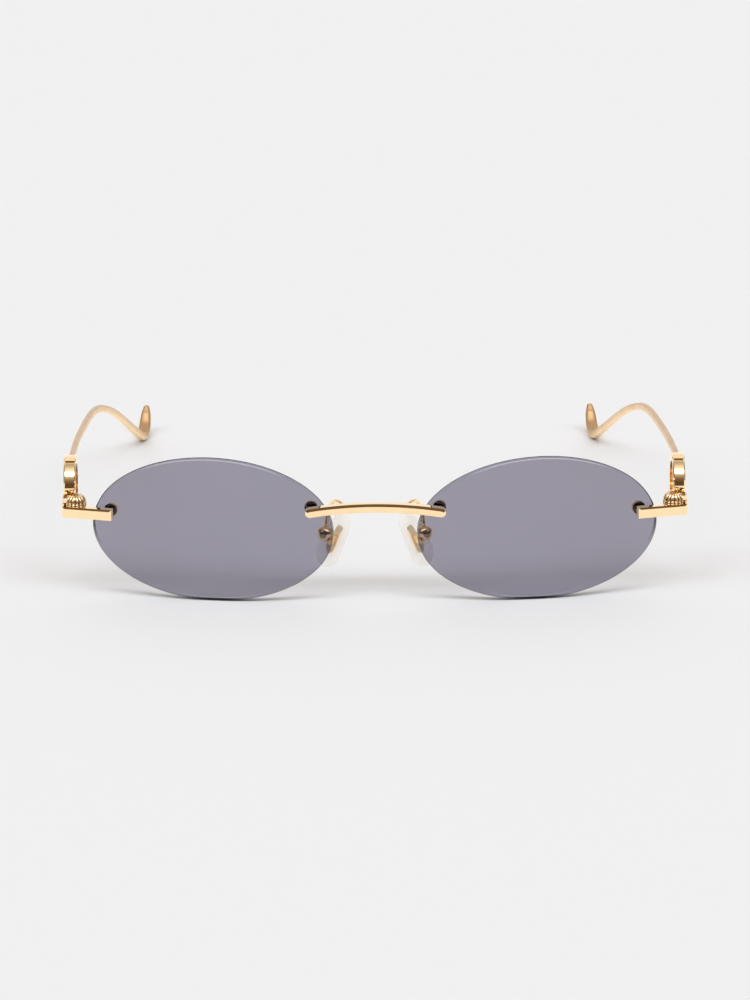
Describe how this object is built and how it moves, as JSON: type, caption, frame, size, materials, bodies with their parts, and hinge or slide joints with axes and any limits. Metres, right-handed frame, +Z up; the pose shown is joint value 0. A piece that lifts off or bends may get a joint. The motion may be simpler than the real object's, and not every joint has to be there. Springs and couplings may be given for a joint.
{
  "type": "rimless eyeglasses",
  "caption": "Rimless oval tinted eyeglasses with an arched metal bridge, folding hinged temples that start in an open ring, and rocking nose pads.",
  "frame": {"origin": "on the surface the open glasses stand on, under the middle of the whole bounding box", "axes": "+X to the wearer's left, the longest extent; +Y from the lenses back to the ears; +Z up, the shortest extent"},
  "size_m": [0.1394, 0.1299, 0.033],
  "materials": {
    "polished_gold": "pale gold plating, polished",
    "screw_gold": "gold plating, turned and slotted",
    "tinted_lens": "solid grey tint, polished",
    "clear_silicone": "soft clear silicone, satin",
    "clear_nylon": "clear nylon"
  },
  "bodies": {
    "front": {"bridge": "polished_gold", "bridge_bushing_left": "clear_nylon", "bridge_bushing_right": "clear_nylon", "bridge_nut_left": "polished_gold", "bridge_nut_right": "polished_gold", "bridge_stud_left": "polished_gold", "bridge_stud_right": "polished_gold", "bridge_washer_left": "clear_nylon", "bridge_washer_right": "clear_nylon", "endpiece_bushing_left": "clear_nylon", "endpiece_bushing_right": "clear_nylon", "endpiece_left": "polished_gold", "endpiece_nut_left": "polished_gold", "endpiece_nut_right": "polished_gold", "endpiece_right": "polished_gold", "endpiece_stud_left": "polished_gold", "endpiece_stud_right": "polished_gold", "endpiece_washer_left": "clear_nylon", "endpiece_washer_right": "clear_nylon", "hinge_screw_left": "screw_gold", "hinge_screw_right": "screw_gold", "hinge_washers_left": "clear_nylon", "hinge_washers_right": "clear_nylon", "lens_left": "tinted_lens", "lens_right": "tinted_lens", "pad_arm_left": "polished_gold", "pad_arm_right": "polished_gold", "pad_box_left": "polished_gold", "pad_box_right": "polished_gold", "pad_screw_left": "screw_gold", "pad_screw_right": "screw_gold"},
    "temple_left": {"temple_arm_left": "polished_gold", "temple_hinge_leaf_left": "polished_gold", "temple_ring_left": "polished_gold"},
    "temple_right": {"temple_arm_right": "polished_gold", "temple_hinge_leaf_right": "polished_gold", "temple_ring_right": "polished_gold"},
    "pad_left": {"nose_pad_left": "clear_silicone", "pad_core_left": "polished_gold"},
    "pad_right": {"nose_pad_right": "clear_silicone", "pad_core_right": "polished_gold"}
  },
  "joints": [
    {"name": "temple_left_fold", "type": "hinge", "parent": "front", "child": "temple_left", "pos_m": [0.0668, -0.054, 0.02048], "axis": [0, 0, 1], "range_deg": [0, 84]},
    {"name": "temple_right_fold", "type": "hinge", "parent": "front", "child": "temple_right", "pos_m": [-0.0668, -0.054, 0.02048], "axis": [0, 0, -1], "range_deg": [0, 77]},
    {"name": "pad_left_rock", "type": "hinge", "parent": "front", "child": "pad_left", "pos_m": [0.0109, -0.05595, 0.0131], "axis": [0.4727, 0.8532, 0.2204], "range_deg": [-10, 10]},
    {"name": "pad_right_rock", "type": "hinge", "parent": "front", "child": "pad_right", "pos_m": [-0.0109, -0.05595, 0.0131], "axis": [-0.4727, 0.8532, 0.2204], "range_deg": [-10, 10]}
  ]
}
